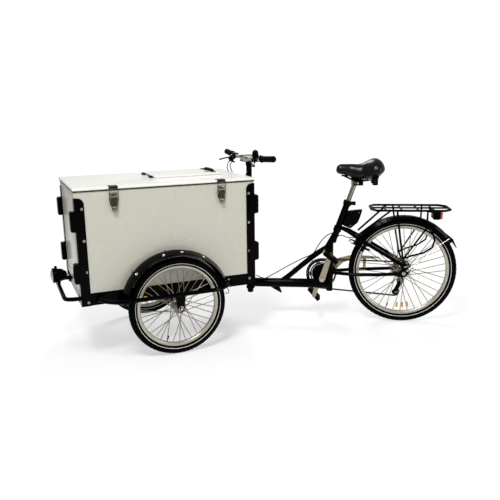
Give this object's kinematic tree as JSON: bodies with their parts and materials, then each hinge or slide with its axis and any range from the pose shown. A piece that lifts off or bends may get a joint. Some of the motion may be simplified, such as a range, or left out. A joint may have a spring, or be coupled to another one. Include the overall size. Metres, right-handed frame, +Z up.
{
  "type": "bicycle vending cart",
  "caption": "Front-box cargo tricycle vending cart: lidded white box with hatch between two front wheels, steering on a pedalled bicycle rear frame with saddle and rack.",
  "frame": {"origin": "on the ground under the middle of the footprint", "axes": "+X points to the rear of the box carrier, +Y to the rider's right, +Z up; the rear frame is steered toward -Y"},
  "size_m": [2.1428, 1.0286, 0.996],
  "materials": {
    "black_paint": "gloss black powder coat",
    "black_satin": "satin black paint",
    "black_plastic": "fine-grained black plastic",
    "rubber": "matt black rubber",
    "white_panel": "gloss white faced board",
    "alloy": "satin aluminium",
    "chrome": "polished",
    "steel": "plain steel",
    "bronze_steel": "bronze-tinted steel",
    "dark_steel": "oiled dark steel",
    "beige_plastic": "beige plastic",
    "vinyl": "grained black vinyl"
  },
  "bodies": {
    "carrier": {"carrier_frame": "black_paint", "outer_stay_left": "black_paint", "outer_stay_right": "black_paint", "bumper_hoop": "black_paint", "headlamp": "black_paint", "panel_left": "white_panel", "panel_right": "white_panel", "panel_front": "white_panel", "panel_rear": "white_panel", "box_floor": "white_panel", "post_front_left": "black_paint", "post_front_right": "black_paint", "post_rear_left": "black_paint", "post_rear_right": "black_paint", "front_fender_left": "black_paint", "front_fender_right": "black_paint", "lid_hinge": "steel", "latch_base_front": "steel", "latch_base_rear": "steel", "steering_column": "black_paint", "handlebar": "alloy", "grip_left": "rubber", "grip_right": "rubber", "control_cables_front": "rubber"},
    "lid": {"lid": "white_panel", "latch_keeper_front": "steel", "latch_keeper_rear": "steel", "hatch_hinge": "black_satin"},
    "hatch": {"hatch": "white_panel", "hatch_handle": "black_satin"},
    "latch_lever_front": {"latch_lever_front": "bronze_steel"},
    "latch_bail_front": {"latch_bail_front": "steel"},
    "latch_lever_rear": {"latch_lever_rear": "bronze_steel"},
    "latch_bail_rear": {"latch_bail_rear": "steel"},
    "brake_lever_left": {"brake_lever_left": "black_satin"},
    "brake_lever_right": {"brake_lever_right": "black_satin"},
    "front_wheel_left": {"front_wheel_left": "alloy", "front_tyre_left": "rubber"},
    "front_wheel_right": {"front_wheel_right": "alloy", "front_tyre_right": "rubber"},
    "rear_frame": {"rear_frame": "black_paint", "rear_stays": "black_paint", "chain": "dark_steel", "derailleur": "dark_steel", "chain_guard": "beige_plastic", "rack": "black_paint", "rear_fender": "black_plastic", "tail_lamp": "black_plastic", "wedge_case": "black_plastic", "control_cable_rear": "rubber"},
    "seat": {"seat_post": "chrome", "saddle": "vinyl"},
    "seat_release_lever": {"seat_release_lever": "black_satin"},
    "crankset": {"crankset": "alloy"},
    "pedal_left": {"pedal_left": "black_plastic"},
    "pedal_right": {"pedal_right": "black_plastic"},
    "cassette": {"cassette": "dark_steel"},
    "rear_wheel": {"rear_wheel": "alloy", "rear_tyre": "rubber"}
  },
  "joints": [
    {"name": "steering", "type": "hinge", "parent": "carrier", "child": "rear_frame", "pos_m": [0.0396, 0.1063, 0.221], "axis": [0, 0, 1], "range_deg": [-15, 74]},
    {"name": "lid_open", "type": "hinge", "parent": "carrier", "child": "lid", "pos_m": [-0.5254, 0.3988, 0.853], "axis": [-1, 0, 0], "range_deg": [0, 100]},
    {"name": "hatch_open", "type": "hinge", "parent": "lid", "child": "hatch", "pos_m": [-0.5284, 0.1763, 0.8745], "axis": [0, -1, 0], "range_deg": [0, 110]},
    {"name": "front_wheel_left_spin", "type": "hinge", "parent": "carrier", "child": "front_wheel_left", "pos_m": [-0.5064, -0.2337, 0.252], "axis": [0, 1, 0], "continuous": true},
    {"name": "front_wheel_right_spin", "type": "hinge", "parent": "carrier", "child": "front_wheel_right", "pos_m": [-0.5064, 0.4463, 0.252], "axis": [0, 1, 0], "continuous": true},
    {"name": "rear_wheel_spin", "type": "hinge", "parent": "rear_frame", "child": "rear_wheel", "pos_m": [0.80278, -0.32373, 0.3035], "axis": [0.4909, 0.8712, 0], "continuous": true},
    {"name": "crank_spin", "type": "hinge", "parent": "rear_frame", "child": "crankset", "pos_m": [0.40551, -0.09988, 0.262], "axis": [0.4909, 0.8712, 0], "continuous": true},
    {"name": "pedal_left_spin", "type": "hinge", "parent": "crankset", "child": "pedal_left", "pos_m": [0.38286, -0.2306, 0.40736], "axis": [0.4909, 0.8712, 0], "continuous": true},
    {"name": "pedal_right_spin", "type": "hinge", "parent": "crankset", "child": "pedal_right", "pos_m": [0.42816, 0.03084, 0.11664], "axis": [0.4909, 0.8712, 0], "continuous": true},
    {"name": "cassette_spin", "type": "hinge", "parent": "rear_frame", "child": "cassette", "pos_m": [0.82487, -0.28453, 0.3035], "axis": [0.4909, 0.8712, 0], "continuous": true},
    {"name": "brake_lever_left_pull", "type": "hinge", "parent": "carrier", "child": "brake_lever_left", "pos_m": [-0.0064, -0.0437, 0.944], "axis": [0, 0, 1], "range_deg": [0, 14], "stiffness_Nm_per_rad": 0.4},
    {"name": "brake_lever_right_pull", "type": "hinge", "parent": "carrier", "child": "brake_lever_right", "pos_m": [-0.0064, 0.2563, 0.944], "axis": [0, 0, -1], "range_deg": [0, 14], "stiffness_Nm_per_rad": 0.4},
    {"name": "seat_height", "type": "slide", "parent": "rear_frame", "child": "seat", "axis": [0.286, -0.1611, 0.9446], "range_m": [-0.015, 0.09]},
    {"name": "seat_release", "type": "hinge", "parent": "rear_frame", "child": "seat_release_lever", "pos_m": [0.54131, -0.21026, 0.6895], "axis": [0.286, -0.1611, 0.9446], "range_deg": [0, 150]},
    {"name": "latch_lever_front_turn", "type": "hinge", "parent": "carrier", "child": "latch_lever_front", "pos_m": [-0.7834, -0.1842, 0.806], "axis": [-1, 0, 0], "range_deg": [0, 150]},
    {"name": "latch_bail_front_turn", "type": "hinge", "parent": "latch_lever_front", "child": "latch_bail_front", "pos_m": [-0.7834, -0.1827, 0.794], "axis": [-1, 0, 0], "range_deg": [-150, 0]},
    {"name": "latch_lever_rear_turn", "type": "hinge", "parent": "carrier", "child": "latch_lever_rear", "pos_m": [-0.2374, -0.1842, 0.806], "axis": [-1, 0, 0], "range_deg": [0, 150]},
    {"name": "latch_bail_rear_turn", "type": "hinge", "parent": "latch_lever_rear", "child": "latch_bail_rear", "pos_m": [-0.2374, -0.1827, 0.794], "axis": [-1, 0, 0], "range_deg": [-150, 0]}
  ],
  "couplings": [
    {"joint": "cassette_spin", "follows": "crank_spin", "ratio": 2.4444},
    {"joint": "latch_bail_front_turn", "follows": "latch_lever_front_turn", "ratio": -1},
    {"joint": "latch_bail_rear_turn", "follows": "latch_lever_rear_turn", "ratio": -1}
  ]
}
